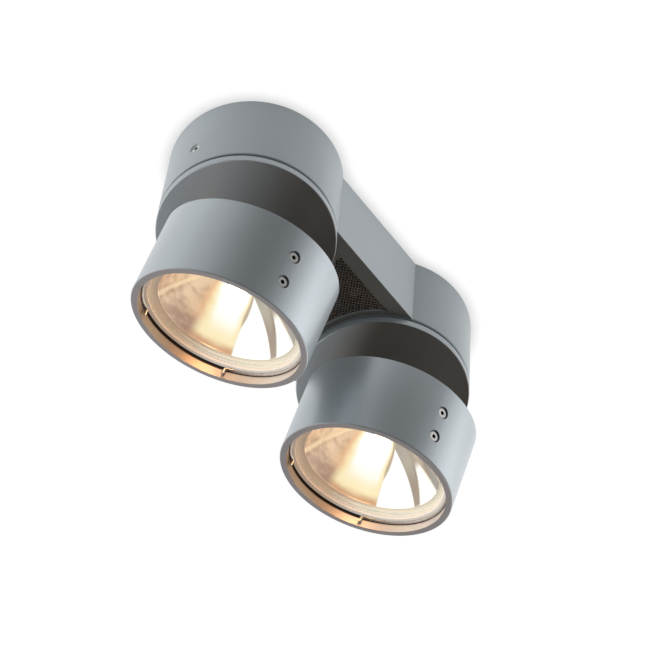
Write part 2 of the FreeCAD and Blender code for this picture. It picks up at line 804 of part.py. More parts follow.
for unit, side in enumerate(canopy_sides):
    number = "_" + str(unit + 1)
    on_canopy = FreeCAD.Placement(point(side * half_spacing, 0, 0), FreeCAD.Rotation())
    turning = on_canopy.multiply(FreeCAD.Placement(point(0, 0, 0), FreeCAD.Rotation(up, rest_azimuths[unit])))
    tilt = FreeCAD.Rotation(point(0, -1, 0), rest_tilts[unit])
    tilting = turning.multiply(FreeCAD.Placement(point(0, 0, 0), tilt, point(pivot_offset, 0, pivot_level)))
    export("canopy" + number, [canopy(side)], on_canopy)
    export("spindle_bush" + number, [bush()], on_canopy)
    export("slip_ring" + number, [slip_ring()], on_canopy)
    export("turntable" + number, [turntable()], turning)
    export("spindle" + number, [spindle()], turning)
    export("spring_washer" + number, [spring_washer()], turning)
    export("spindle_nut" + number, [spindle_nut()], turning)
    export("stop_pin" + number, [stop_pin()], turning)
    export("hinge_arm" + number, [hinge_arm()], turning)
    arm_screws = [moved(flat_screw(arm_screw_length), sunk(arm_screw_place(y)))
                  for y in (-arm_screw_half_spacing, arm_screw_half_spacing)]
    export("arm_screws" + number, arm_screws, turning)
    export("head_tube" + number, [head_tube()], tilting)
    export("hinge_lugs" + number, hinge_lugs(), tilting)
    export("hinge_pin" + number, [pin_rod(pin_radius, pin_length)], tilting)
    export("friction_washers" + number, friction_washers(), tilting)
    lug_screws = [moved(flat_screw(lug_screw_length - screw_sink), sunk(lug_screw_place(turn)))
                  for turn in (-lug_screw_angle, lug_screw_angle)]
    export("lug_screws" + number, lug_screws, tilting)
    head_screws = [moved(flat_screw(head_screw_length - screw_sink), sunk(head_screw_place(place)))
                   for place in head_screw_places]
    export("head_screws" + number, head_screws, tilting)
    export("back_cover" + number, [back_cover()], tilting)
    export("lamp_carrier" + number, [lamp_carrier()], tilting)
    export("lampholder" + number, [lampholder()], tilting)
    export("lamp" + number, [lamp()], tilting)
    export("reflector" + number, [reflector()], tilting)
    export("front_glass" + number, [front_glass()], tilting)
    export("glass_seal" + number, [glass_seal()], tilting)
    export("retaining_ring" + number, [retaining_ring()], tilting)
    pin = tilting.multVec(point(pivot_offset, 0, pivot_level))
    print("tilt pin", number, [round(value, 3) for value in pin])

export("bridge_housing", [bridge_housing()])
export("vent_grille", [grille()])
export("ceiling_bracket", [ceiling_bracket()])
export("transformer", [transformer()])
export("transformer_screws", [moved(flat_screw(transformer_screw_length), place)
                              for place in transformer_screw_places()])
export("terminal_block", [terminal_block()])
export("cable_grommet", [grommet()])
export("side_screws", [moved(flat_screw(side_screw_length), sunk(side_screw_place(side)))
                       for side in canopy_sides])
export("joint_blocks", joint_blocks())
export("joint_screws", [joint_screw_at(side, edge) for side in canopy_sides for edge in (-1, 1)])
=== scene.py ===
import json
import math

import bmesh
import bpy
from mathutils import Matrix, Vector

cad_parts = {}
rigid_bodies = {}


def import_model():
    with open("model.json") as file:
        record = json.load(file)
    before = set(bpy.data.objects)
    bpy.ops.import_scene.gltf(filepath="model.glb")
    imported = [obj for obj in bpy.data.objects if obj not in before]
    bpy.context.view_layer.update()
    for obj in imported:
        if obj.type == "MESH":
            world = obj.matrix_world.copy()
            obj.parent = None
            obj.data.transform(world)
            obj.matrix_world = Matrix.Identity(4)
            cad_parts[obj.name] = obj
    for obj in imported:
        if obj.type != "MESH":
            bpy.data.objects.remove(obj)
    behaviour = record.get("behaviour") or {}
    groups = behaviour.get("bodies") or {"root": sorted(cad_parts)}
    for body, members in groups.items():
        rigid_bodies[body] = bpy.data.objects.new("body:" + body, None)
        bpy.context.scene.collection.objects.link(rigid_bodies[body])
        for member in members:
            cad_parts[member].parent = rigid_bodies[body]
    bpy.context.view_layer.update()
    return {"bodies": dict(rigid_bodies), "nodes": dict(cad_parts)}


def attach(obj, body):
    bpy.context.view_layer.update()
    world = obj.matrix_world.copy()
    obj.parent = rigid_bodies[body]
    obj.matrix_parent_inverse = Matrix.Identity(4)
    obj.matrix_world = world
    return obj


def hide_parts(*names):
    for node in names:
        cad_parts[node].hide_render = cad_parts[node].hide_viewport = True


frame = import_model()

mm = 0.001
halfSpacing = 71.0      # from the middle of the part to the axis of each canopy, in millimetres
print("frame loaded:", len(frame["nodes"]), "nodes")


class Shade:  # a socket of a node tree that can be calculated with
    def __init__(self, tree, socket=None):
        self.tree = tree
        self.socket = socket

    def node(self, kind, settings=None, values=None, out=0):
        made = self.tree.nodes.new("ShaderNode" + kind)
        for name, value in (settings or {}).items():
            setattr(made, name, value)
        for name, value in (values or {}).items():
            if isinstance(value, Shade):
                self.tree.links.new(value.socket, made.inputs[name])
            else:
                made.inputs[name].default_value = value
        return Shade(self.tree, made.outputs[out] if len(made.outputs) else None)

    def other(self, name):  # another output of the same node
        return Shade(self.tree, self.socket.node.outputs[name])

    def parts(self):  # x, y and z of a vector
        made = self.node("SeparateXYZ", values={0: self})
        return [made.other(axis) for axis in "XYZ"]

    def math(self, operation, *values):
        return self.node("Math", {"operation": operation}, dict(enumerate(values)))

    def __add__(self, other):
        return self.math("ADD", self, other)

    def __sub__(self, other):
        return self.math("SUBTRACT", self, other)

    def __rsub__(self, other):
        return self.math("SUBTRACT", other, self)

    def __mul__(self, other):
        return self.math("MULTIPLY", self, other)

    def __truediv__(self, other):
        return self.math("DIVIDE", self, other)

    def __rtruediv__(self, other):
        return self.math("DIVIDE", other, self)

    def __pow__(self, other):
        return self.math("POWER", self, other)

    def __rpow__(self, other):
        return self.math("POWER", other, self)

    def __abs__(self):
        return self.math("ABSOLUTE", self)

    __radd__ = __add__
    __rmul__ = __mul__

    def most(self, other):
        return self.math("MAXIMUM", self, other)

    def between(self, low, high):  # 0 below low, 1 above high, smooth between
        return self.node("MapRange", {"interpolation_type": "SMOOTHSTEP"},
                         {"Value": self, "From Min": low, "From Max": high})

    def past(self, edge, soft):  # 0 below the edge, 1 above it
        return self.between(edge - soft, edge + soft)

    def blend(self, low, high):  # colours mixed by this value
        return self.node("Mix", {"data_type": "RGBA"}, {0: self, 6: low, 7: high}, out=2)

    def tint(self, colour):  # colour times this value
        settings = {"data_type": "RGBA", "blend_type": "MULTIPLY"}
        return self.node("Mix", settings, {0: 1.0, 6: colour, 7: self}, out=2)


def rgb(r, g, b):
    return (r, g, b, 1)


def newMaterial(name):
    material = bpy.data.materials.new(name)
    material.use_nodes = True
    material.node_tree.nodes.clear()
    return material, Shade(material.node_tree)


def place(shade):  # position on the piece, in metres
    return shade.node("TexCoord", out=3)


def noise(shade, where, scale, detail=2.0):
    return shade.node("TexNoise", values={"Vector": where, "Scale": scale, "Detail": detail})


def stretched(value):  # noise that reaches from 0 to 1
    return value.between(0.3, 0.7)


def flecked(grain, spread, colour):  # colour made a little lighter and darker by noise
    return ((grain - 0.5) * spread + 1).tint(colour)


def uneven(grain, finish):  # roughness varied by noise
    return (grain - 0.5) * finish["roughSpread"] + finish["roughness"]


def bumps(shade, height, depth, strength):
    return shade.node("Bump", values={"Height": height, "Distance": depth, "Strength": strength})


def fromAxis(x, y):
    return (x * x + y * y) ** 0.5


def towards(x, y, turn):  # 1 on the side at this angle round the axis, -1 on the side across from it
    return (x * math.cos(math.radians(turn)) + y * math.sin(math.radians(turn))) / fromAxis(x, y)


def cosines(spread):
    return [math.cos(math.radians(turn)) for turn in spread]


def surface(shade, shader):
    shade.node("OutputMaterial", values={"Surface": shader})


cornerLook = {
    "samples": 6,
    "openness": (0.25, 0.8),            # from deep painted corner shade to none
    "top": (-0.8 * mm, -0.3 * mm),      # levels where the painted corner shade ends, as tops lie against the ceiling
}


def dirtied(shade, finish, colour):  # painted shade: darker deep in a corner, from ambient occlusion
    height = place(shade).parts()[2]
    settings = {"samples": cornerLook["samples"]}
    openness = shade.node("AmbientOcclusion", settings, {"Distance": finish["crevice"]}, out="AO")
    unshaded = openness.between(*cornerLook["openness"]).most(height.between(*cornerLook["top"]))
    return unshaded.blend(finish["cornerShadow"], colour)


# How each head stands, the same as in the model: millimetres and degrees

headStand = {
    "pivotOffset": 46.75, "pivotLevel": -114.3,
    1: {"side": -1, "azimuth": 79.3, "tilt": 24.8, "glowShift": 0.0},
    2: {"side": 1, "azimuth": 82.1, "tilt": 20.2, "glowShift": -7.0},
}


def headMatrix(number):
    stand = headStand[number]
    onCanopy = Matrix.Translation((stand["side"] * halfSpacing * mm, 0, 0))
    turn = Matrix.Rotation(math.radians(stand["azimuth"]), 4, "Z")
    pivot = Matrix.Translation((headStand["pivotOffset"] * mm, 0, headStand["pivotLevel"] * mm))
    tilt = Matrix.Rotation(math.radians(stand["tilt"]), 4, Vector((0, -1, 0)))
    return onCanopy @ turn @ pivot @ tilt @ pivot.inverted()


def headPlace(shade, number):
    # Position from the head's own axis, whatever way it is set: in metres, then x, y and z in millimetres
    move = headMatrix(number).inverted()
    where = shade.node("Mapping", values={
        "Vector": place(shade), "Location": move.to_translation(), "Rotation": move.to_euler("XYZ")})
    return (where, *(part / mm for part in where.parts()))


# Satin lacquer of the canopies, the bridge and the heads

shellFinish = {
    "light": rgb(0.50, 0.556, 0.587), "dark": rgb(0.47, 0.52, 0.55),
    "cloud": 18.0, "grain": 2600.0,             # soft drift of tone and fine grain, per metre
    "cloudShare": 0.6, "grainShare": 0.4,
    "metallic": 0.10,
    "sheen": 0.25,                              # specular level of the clear lacquer
    "roughness": 0.36, "roughSpread": 0.10, "cloudRough": 0.06,
    "grainDepth": 0.03 * mm, "grainStrength": 0.6,
    "crevice": 2.5 * mm,                        # how far painted corner shade reaches out of a corner
    "cornerShadow": rgb(0.05, 0.05, 0.055),
}
headFinish = dict(
    shellFinish, light=rgb(0.56, 0.618, 0.65), dark=rgb(0.53, 0.58, 0.615),
    metallic=0.42, sheen=0.5, roughness=0.33)
# The bridge wears a lighter copy of the canopies' lacquer as painted light
bridgeLitFinish = dict(
    shellFinish, light=rgb(0.57, 0.634, 0.664), dark=rgb(0.54, 0.595, 0.625),
    under=rgb(0.235, 0.225, 0.20), underLevel=-59.75 * mm, underSoft=0.1 * mm)   # painted shade on its lower face

# Mouth of each head, in millimetres from its axis and along it: painted lamp light on the wall, painted
# shadow in the groove of the wire, rim
mouthFinish = {
    "wall": 50.8, "inner": -118.05, "wallLampWarm": rgb(0.46, 0.37, 0.29), "wallLampPale": rgb(0.80, 0.80, 0.81),
    "paleTurn": -110.0, "paleSpread": (105.0, 40.0),
    "groove": rgb(0.030, 0.016, 0.010), "grooveLevel": -126.0, "grooveHalf": 1.25, "grooveSoft": 0.03,
    "outside": 51.95, "rim": rgb(0.57, 0.525, 0.52), "rimLevel": -132.5, "soft": 0.05,
    "screwLevels": (-97.6, -115.6), "screwSide": (-2.0, 0.0),           # levels, and where their side ends
    "sinkRadius": 3.9, "sinkSoft": 0.1, "sinkShadow": rgb(0.07, 0.075, 0.08),
}


def mouthColours(shade, number, colour):
    look = mouthFinish
    soft = look["soft"]
    _, x, y, level = headPlace(shade, number)
    radius = fromAxis(x, y)
    inside = 1 - radius.past(look["outside"], soft)
    front = 1 - level.past(look["inner"], soft)
    # Painted lamp light on the mouth's wall: warm, and paler on one side
    pale = towards(x, y, look["paleTurn"]).between(*cosines(look["paleSpread"]))
    colour = (inside * front).blend(colour, pale.blend(look["wallLampWarm"], look["wallLampPale"]))
    # Painted shadow in the groove of the wire
    inGroove = 1 - abs(level - look["grooveLevel"]).past(look["grooveHalf"], look["grooveSoft"])
    colour = (radius.past(look["wall"], soft) * inside * inGroove).blend(colour, look["groove"])
    colour = (1 - level.past(look["rimLevel"], soft)).blend(colour, look["rim"])
    for height in look["screwLevels"]:  # painted shadow in the countersinks round the two screws opposite the hinge
        sinkShadow = 1 - fromAxis(y, level - height).past(look["sinkRadius"], look["sinkSoft"])
        colour = (sinkShadow * (1 - x.between(*look["screwSide"]))).blend(colour, look["sinkShadow"])
    return colour


def satinShell(name, finish, number=None):
    material, shade = newMaterial(name)
    where = place(shade)
    drift = noise(shade, where, finish["cloud"])
    grain = noise(shade, where, finish["grain"], 3.0)
    tone = stretched(drift * finish["cloudShare"] + grain * finish["grainShare"])
    colour = tone.blend(finish["dark"], finish["light"])
    # Painted shade on a face that looks down, below a given level
    if "under" in finish:
        above = where.parts()[2].past(finish["underLevel"], finish["underSoft"])
        colour = above.blend(finish["under"], colour)
    colour = dirtied(shade, finish, colour)
    if number:
        colour = mouthColours(shade, number, colour)
    surface(shade, shade.node("BsdfPrincipled", values={
        "Base Color": colour, "Metallic": finish["metallic"], "Specular IOR Level": finish["sheen"],
        "Roughness": uneven(grain, finish) + (drift - 0.5) * finish["cloudRough"],
        "Normal": bumps(shade, grain, finish["grainDepth"], finish["grainStrength"])}))
    return material


discFinish = {
    "side": rgb(0.46, 0.51, 0.54), "underDark": rgb(0.135, 0.118, 0.10), "underPale": rgb(0.80, 0.84, 0.87),
    "underLevel": -67.6 * mm, "underSoft": 0.2 * mm,    # edge of the underside
    "towardsLit": {1: (-30.0, 60.0), 2: (14.0, 58.0)},      # from the middle of the disc towards its side with painted light
    "litWay": (-0.8, 0.6),
    "metallic": 0.25, "roughness": 0.38, "roughSpread": 0.1,
    "grain": 1800.0, "grainTone": 0.3, "grainDepth": 0.03 * mm, "grainStrength": 0.5,
    "crevice": 3.0 * mm, "cornerShadow": rgb(0.03, 0.03, 0.033),
}


def discMaterial(number):
    # Lacquered side, and an underside with painted light on one side and painted shade on the other
    finish = discFinish
    material, shade = newMaterial("turntableLacquer" + str(number))
    where = place(shade)
    x, y, height = where.parts()
    across, along = finish["litWay"]
    axis = headStand[number]["side"] * halfSpacing
    towardsLit = ((x / mm - axis) * across + y / mm * along).between(*finish["towardsLit"][number])
    under = towardsLit.blend(finish["underDark"], finish["underPale"])
    onSide = height.past(finish["underLevel"], finish["underSoft"])
    grain = noise(shade, where, finish["grain"], 3.0)
    colour = flecked(grain, finish["grainTone"], onSide.blend(under, finish["side"]))
    surface(shade, shade.node("BsdfPrincipled", values={
        "Base Color": dirtied(shade, finish, colour), "Metallic": finish["metallic"],
        "Roughness": uneven(grain, finish),
        "Normal": bumps(shade, grain, finish["grainDepth"], finish["grainStrength"])}))
    return material


# Bare metals and plastics. What they share comes first

plainLook = {
    "metallic": 0.0, "roughSpread": 0.12, "grainDepth": 0.01 * mm, "grainStrength": 0.5,
    "crevice": 1.2 * mm, "cornerShadow": rgb(0.02, 0.02, 0.022),
}
plainFinishes = {
    "bareSteel": dict(colour=(0.42, 0.42, 0.43), spread=0.10, metallic=1.0, roughness=0.38, grain=900.0),
    # the spring wire's warm pale tint is painted lamp light on grey steel
    "springWire": dict(colour=(0.62, 0.56, 0.50), spread=0.15, metallic=1.0, roughness=0.28, grain=1500.0),
    "brightScrew": dict(colour=(0.72, 0.71, 0.70), spread=0.12, metallic=1.0, roughness=0.22, grain=2500.0,
                        crevice=2.4 * mm),
    "zincCasting": dict(colour=(0.42, 0.42, 0.43), spread=0.2, metallic=0.9, roughness=0.5, grain=1200.0),
    "turnedBrass": dict(colour=(0.72, 0.52, 0.22), spread=0.12, metallic=1.0, roughness=0.25, grain=2000.0),
    "meshPaint": dict(colour=(0.30, 0.24, 0.20), spread=0.35, metallic=0.5, roughness=0.42, grain=1800.0),
    "nylon": dict(colour=(0.80, 0.79, 0.74), spread=0.06, roughness=0.5, grain=700.0),
    "blackCase": dict(colour=(0.03, 0.03, 0.032), spread=0.3, roughness=0.55, grain=1400.0),
    "blackRubber": dict(colour=(0.018, 0.017, 0.016), spread=0.3, roughness=0.7, grain=1600.0),
    "glazedCeramic": dict(colour=(0.86, 0.82, 0.72), spread=0.05, roughness=0.2, grain=300.0),
}


def plainMaterial(name):
    finish = dict(plainLook, **plainFinishes[name])
    material, shade = newMaterial(name)
    grain = noise(shade, place(shade), finish["grain"], 3.0)
    low = [part * (1 - finish["spread"]) for part in finish["colour"]]
    high = [min(part * (1 + finish["spread"]), 1) for part in finish["colour"]]
    colour = stretched(grain).blend(rgb(*low), rgb(*high))
    surface(shade, shade.node("BsdfPrincipled", values={
        "Base Color": dirtied(shade, finish, colour), "Metallic": finish["metallic"],
        "Roughness": uneven(grain, finish),
        "Normal": bumps(shade, grain, finish["grainDepth"], finish["grainStrength"])}))
    return material


glassFinish = {
    "tint": rgb(0.95, 0.97, 0.96), "mirror": rgb(0.9, 0.9, 0.88), "roughness": 0.02,
    "index": 1.45, "edgeShare": 0.9, "faceShare": 0.02,
    "specks": 400.0, "speckRange": (0.62, 0.8), "speckShare": 0.02,
}


def glassMaterial():
    # Clear glass as a thin sheet: light passes, and the surface only adds its reflection
    finish = glassFinish
    material, shade = newMaterial("frontGlass")
    specks = noise(shade, place(shade), finish["specks"]).between(*finish["speckRange"])
    edge = shade.node("Fresnel", values={"IOR": finish["index"]})
    front = 1 - shade.node("NewGeometry", out="Backfacing")
    passing = shade.node("BsdfTransparent", values={"Color": finish["tint"]})
    shine = shade.node("BsdfPrincipled", values={
        "Base Color": finish["mirror"], "Metallic": 1.0, "Roughness": finish["roughness"]})
    share = (edge * finish["edgeShare"] + specks * finish["speckShare"] + finish["faceShare"]) * front
    surface(shade, shade.node("MixShader", values={0: share, 1: passing, 2: shine}))
    return material


# Painted reflection of the lit lamp on the reflector, given as emission: degrees round the axis, and depths
# in millimetres in from the mouth

paintedReflectionLook = {
    "white": rgb(1.0, 0.99, 0.96), "cream": rgb(0.93, 0.76, 0.46), "peach": rgb(0.60, 0.33, 0.18),
    "ember": rgb(0.82, 0.45, 0.235), "pale": rgb(0.80, 0.60, 0.38), "warm": rgb(0.70, 0.46, 0.29),
    "dim": rgb(0.34, 0.19, 0.13), "fold": rgb(0.50, 0.38, 0.27), "drab": rgb(0.36, 0.31, 0.26),
    "brown": rgb(0.20, 0.14, 0.115), "grey": rgb(0.05, 0.055, 0.07),
    "mottleAcross": 80.0, "mottleAlong": 260.0, "mottleDetail": 4.0,    # fine patches, per metre
    "ragged": 10.0,                             # how far the patches push an edge, in degrees
    "tan": (2.2, 0.04, -0.95), "far": (0.6, 0.07, -0.7),                # by patch, by depth, and level
    "streak": 52.0, "streakHalf": (1.0, 6.0), "streakRagged": 5.0, "streakShare": 0.7,
    "farEnd": (-112.0, -100.0), "back": (125.0, 150.0),
    "reach": 25.0,                              # depth at which the blaze has its whole spread
    "right": (-5.0, 23.0, 2.5), "left": (-41.0, -18.0, 2.2),            # edge at the mouth, spread, power
    "soft": 1.0,
    "fringe": (2.0, 26.0), "fringeDepth": (2.0, 12.0),
    "petalGap": 2.6, "gapDepth": (9.0, 17.0), "foldHalf": (1.0, 3.0),
    "blaze": (0.0, 12.0), "blazeRagged": 8.0, "blazeDepth": (1.5, 5.5), "depthRagged": 3.0,
    "core": (-9.0, 4.0), "coreBegin": (0.0, 8.0), "coreDepth": (5.0, 19.0), "coreRagged": 6.0,
    "petal": (-77.0, 0.018), "petalSoft": 1.2,  # edge at the mouth, and its lean by the depth squared
    "farPetal": ((-112.0, 0.65, 3.0), (-84.0, -0.55, 1.5)),             # each edge, lean by depth, softness
    "farPetalFade": (12.0, 18.0),
}


def lampGlow(shade, x, y, radius, angle, shift):
    look = paintedReflectionLook
    soft = look["soft"]
    depth = (reflectorFinish["mouth"] - radius).most(0)
    turn = angle - shift
    cloud = shade.node("CombineXYZ", values={
        "X": x * (look["mottleAcross"] * mm), "Y": y * (look["mottleAcross"] * mm),
        "Z": radius * (look["mottleAlong"] * mm)})
    mottle = noise(shade, cloud, 1.0, look["mottleDetail"])

    def edge(side):
        mouth, spread, power = look[side]
        return (depth * (1 / look["reach"])) ** power * spread + mouth

    def patches(part):
        byMottle, byDepth, level = look[part]
        return (mottle * byMottle + depth * byDepth + level).between(0, 1)

    fromLeft = turn - edge("left")
    fromRight = angle - edge("right")
    ragged = fromRight + mottle * look["ragged"]
    beyondLeft = fromLeft.past(0, soft)
    # Painted reflections: tan beyond the blaze, with a pale streak, and brown on the far side
    colour = patches("tan").blend(look["dim"], look["warm"])
    off = abs(turn - look["streak"] + mottle * look["streakRagged"])
    streak = (1 - off.between(*look["streakHalf"])) * look["streakShare"]
    colour = streak.blend(colour, look["pale"])
    side = patches("far").blend(look["brown"], look["drab"])
    side = (turn + mottle * look["ragged"]).between(*look["farEnd"]).blend(look["grey"], side)
    colour = beyondLeft.blend(side, colour)
    # The painted blaze itself: ember round it, peach at the mouth, then cream, then white
    fringe = (1 - ragged.between(*look["fringe"])) * depth.between(*look["fringeDepth"])
    colour = fringe.blend(colour, beyondLeft.blend(side, look["ember"]))
    gap = depth.between(*look["gapDepth"]) * look["petalGap"]
    low, high = look["foldHalf"]
    colour = (1 - abs(fromLeft).between(gap + low, gap + high)).blend(colour, look["fold"])
    fromGap = fromLeft - gap
    blaze = (depth + mottle * look["depthRagged"]).between(*look["blazeDepth"])
    begin = fromGap.past(0, soft) * (1 - (fromRight + mottle * look["blazeRagged"]).between(*look["blaze"]))
    colour = begin.blend(colour, blaze.blend(look["peach"], look["cream"]))
    core = fromGap.between(*look["coreBegin"]) * (1 - ragged.between(*look["core"]))
    core = core * (depth + mottle * look["coreRagged"]).between(*look["coreDepth"])
    colour = core.blend(colour, look["white"])
    # Two painted white petals of reflected lamp light
    start, lean = look["petal"]
    petal = (turn - depth * depth * lean - start).past(0, look["petalSoft"])
    petal = petal * (1 - (fromLeft + gap).past(0, soft))
    colour = petal.blend(colour, look["white"])
    petal, end = [(turn - depth * lean - at).past(0, blur) for at, lean, blur in look["farPetal"]]
    petal = petal * (1 - end) * (1 - depth.between(*look["farPetalFade"]))
    colour = petal.blend(colour, look["white"])
    back = abs(angle).between(*look["back"])
    return back.blend(colour, stretched(mottle).blend(look["dim"], look["warm"]))


reflectorFinish = {
    "mirror": rgb(0.19, 0.16, 0.125), "roughness": 0.09, "hazeRough": 0.08, "haze": 60.0, "strength": 1.2,
    "marks": 260.0, "markDistortion": 1.2, "markDepth": 0.01 * mm, "markStrength": 0.25,
    "mouth": 42.7, "mouthSoft": 0.3,            # radius where the mirror ends and the flange begins
    "flange": rgb(0.62, 0.54, 0.44), "flangeLit": rgb(0.60, 0.55, 0.47), "flangeDim": rgb(0.27, 0.175, 0.13),
    "litTurn": -85.0, "litSpread": (95.0, 40.0),        # side of the flange with painted lamp light
    "flangeMiddle": 46.0, "flangeLean": 0.09,           # the painted lit side is wider further out
    "shadeWidth": 4.0, "flangeShade": 0.72,             # and painted shade makes the flange darker next to the mirror
    "flangeRough": 0.3, "flangeDull": 0.6,
    # Fine rings in the flange's painted lamp light
    "ringPitch": 1.3, "ringLevel": 0.82, "ringSwing": 0.22,
}


def reflectorMaterial(number):
    # Mirror with faint turning marks and a painted reflection of the lamp's glow, and a cream flange round
    # its mouth with painted lamp light
    finish = reflectorFinish
    mouth, shadeLevel = finish["mouth"], finish["flangeShade"]
    shift = headStand[number]["glowShift"]
    material, shade = newMaterial("reflector" + str(number))
    where, x, y, _ = headPlace(shade, number)
    radius = fromAxis(x, y)
    angle = y.math("ARCTAN2", y, x) * (180 / math.pi)
    onFlange = radius.between(mouth, mouth + finish["mouthSoft"])
    wave = radius * (2 * math.pi / finish["ringPitch"])
    ring = wave.math("SINE", wave) * finish["ringSwing"] + finish["ringLevel"]
    ring = ring * (radius.between(mouth, mouth + finish["shadeWidth"]) * (1 - shadeLevel) + shadeLevel)
    lean = (radius - finish["flangeMiddle"]) * finish["flangeLean"]
    facing = towards(x, y, finish["litTurn"] + shift) + lean
    rim = facing.between(*cosines(finish["litSpread"])).blend(finish["flangeDim"], finish["flangeLit"])
    marks = shade.node("TexWave", {"wave_type": "RINGS", "rings_direction": "Z"}, {
        "Vector": where, "Scale": finish["marks"], "Distortion": finish["markDistortion"], "Detail": 2.0})
    haze = noise(shade, where, finish["haze"])
    glow = lampGlow(shade, x, y, radius, angle, shift)
    surface(shade, shade.node("BsdfPrincipled", values={
        "Base Color": onFlange.blend(finish["mirror"], finish["flange"]),
        "Metallic": 1 - onFlange * finish["flangeDull"],
        "Emission Color": onFlange.blend(glow, ring.tint(rim)), "Emission Strength": finish["strength"],
        "Roughness": onFlange * finish["flangeRough"] + haze * finish["hazeRough"] + finish["roughness"],
        "Normal": bumps(shade, marks, finish["markDepth"], finish["markStrength"])}))
    return material


sealFinish = {
    # lit and dim are painted lamp light, given as emission
    "base": rgb(0.62, 0.52, 0.42), "lit": rgb(0.46, 0.45, 0.42), "dim": rgb(0.26, 0.20, 0.15),
    "litTurn": -85.0, "litSpread": (93.0, 33.0), "strength": 1.0,
    "roughness": 0.35, "roughSpread": 0.12,
    "grain": 500.0, "grainTone": 0.24, "grainDepth": 0.04 * mm, "grainStrength": 0.5,
}


def sealMaterial(number):
    # Pale silicone, with painted lamp light given as emission on the side across from the blaze
    finish = sealFinish
    material, shade = newMaterial("glass_seal" + str(number))
    where, x, y, _ = headPlace(shade, number)
    facing = towards(x, y, finish["litTurn"] + headStand[number]["glowShift"])
    lit = facing.between(*cosines(finish["litSpread"]))
    grain = noise(shade, where, finish["grain"], 3.0)
    surface(shade, shade.node("BsdfPrincipled", values={
        "Base Color": flecked(grain, finish["grainTone"], finish["base"]), "Roughness": uneven(grain, finish),
        "Emission Color": lit.blend(finish["dim"], finish["lit"]), "Emission Strength": finish["strength"],
        "Normal": bumps(shade, grain, finish["grainDepth"], finish["grainStrength"])}))
    return material


def link(thing):
    bpy.context.scene.collection.objects.link(thing)


def newPiece(name, mesh, material, body, smooth=True):
    piece = bpy.data.objects.new(name, mesh)
    link(piece)
    mesh.materials.append(material)
    for face in mesh.polygons:
        face.use_smooth = smooth
    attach(piece, body)
    return piece


def spun(name, outline, segments):
    # Mesh turned about Z from (radius, level) corners in millimetres
    shape = bmesh.new()
    turns = [2 * math.pi * step / segments for step in range(segments)]
    rings = []
    for radius, level in outline:
        around = turns if radius > 1e-6 else [0]
        points = [Vector((radius * math.cos(turn), radius * math.sin(turn), level)) for turn in around]
        rings.append([shape.verts.new(point * mm) for point in points])
    for one, two in zip(rings, rings[1:]):
        for step in range(segments):
            after = (step + 1) % segments
            places = ((one, step), (one, after), (two, after), (two, step))
            corners = [ring[turn % len(ring)] for ring, turn in places]
            unique = list(dict.fromkeys(corners))
            if len(unique) > 2:
                shape.faces.new(unique)
    bmesh.ops.recalc_face_normals(shape, faces=shape.faces)
    mesh = bpy.data.meshes.new(name)
    shape.to_mesh(mesh)
    shape.free()
    return mesh


# Lamp capsules, in millimetres on the head's axis

lampSizes = {
    "base": -91.6,                              # end of the pinch at the lampholder
    "pinchLength": 9.0, "pinchWidth": 9.0, "pinchThickness": 3.2, "pinchEdge": 0.7,
    "radius": 6.0, "wall": 0.9, "tip": -118.6, "segments": 48,
    "shoulder": ((1.0, 0.0), (0.85, 2.0), (0.55, 3.0), (0.0, 3.0)),     # share of the radius, and rise
    "hollowTop": ((0.0, 1.5), (0.5, 1.2)), "hollowShoulder": -0.5,
    "filamentTop": -104.0, "filamentLength": 7.0, "filamentRadius": 1.5, "filamentTurns": 9, "wire": 0.28,
    "turnSteps": 10, "returnWire": -3.2, "returnDrop": 1.0,
}
lampLook = {
    "glowDeep": rgb(1.0, 0.5, 0.2), "glow": rgb(1.0, 0.62, 0.28), "glowStrength": 30.0, "heat": 500.0,
    "wireColour": rgb(0.2, 0.15, 0.1),
    "quartz": rgb(0.9, 0.88, 0.85), "clear": rgb(1.0, 0.97, 0.92), "roughness": 0.05,
    "fill": rgb(1.0, 0.86, 0.66), "fillDeep": rgb(1.0, 0.80, 0.56),     # the capsule itself, blazing
    "fillStrength": 4.0, "fillShare": 0.7, "specks": 300.0, "speckRange": (0.2, 0.8),
    "light": 1.1, "lightRadius": 2.6 * mm, "lightColour": (1.0, 0.45, 0.18),
}


def filamentMesh():
    sizes = lampSizes
    top, length, radius = sizes["filamentTop"], sizes["filamentLength"], sizes["filamentRadius"]
    pinchEnd = sizes["base"] - sizes["pinchLength"]
    steps = sizes["filamentTurns"] * sizes["turnSteps"]
    points = [(radius, 0, pinchEnd)]
    for step in range(steps + 1):
        share = step / steps
        angle = 2 * math.pi * sizes["filamentTurns"] * share
        points.append((radius * math.cos(angle), radius * math.sin(angle), top - length * share))
    points.append((sizes["returnWire"], 0, top - length - sizes["returnDrop"]))
    points.append((sizes["returnWire"], 0, pinchEnd))
    curve = bpy.data.curves.new("filament", "CURVE")
    curve.dimensions = "3D"
    curve.bevel_depth = sizes["wire"] * mm
    curve.bevel_resolution = 2
    spline = curve.splines.new("POLY")
    spline.points.add(len(points) - 1)
    for point, where in zip(spline.points, points):
        point.co = (*[part * mm for part in where], 1)
    holder = bpy.data.objects.new("filament", curve)
    link(holder)
    mesh = bpy.data.meshes.new_from_object(holder.evaluated_get(bpy.context.evaluated_depsgraph_get()))
    bpy.data.objects.remove(holder)
    return mesh


def glowMaterial():
    material, shade = newMaterial("glowingFilament")
    heat = stretched(noise(shade, place(shade), lampLook["heat"]))
    surface(shade, shade.node("BsdfPrincipled", values={
        "Base Color": lampLook["wireColour"], "Emission Strength": lampLook["glowStrength"],
        "Emission Color": heat.blend(lampLook["glowDeep"], lampLook["glow"])}))
    return material


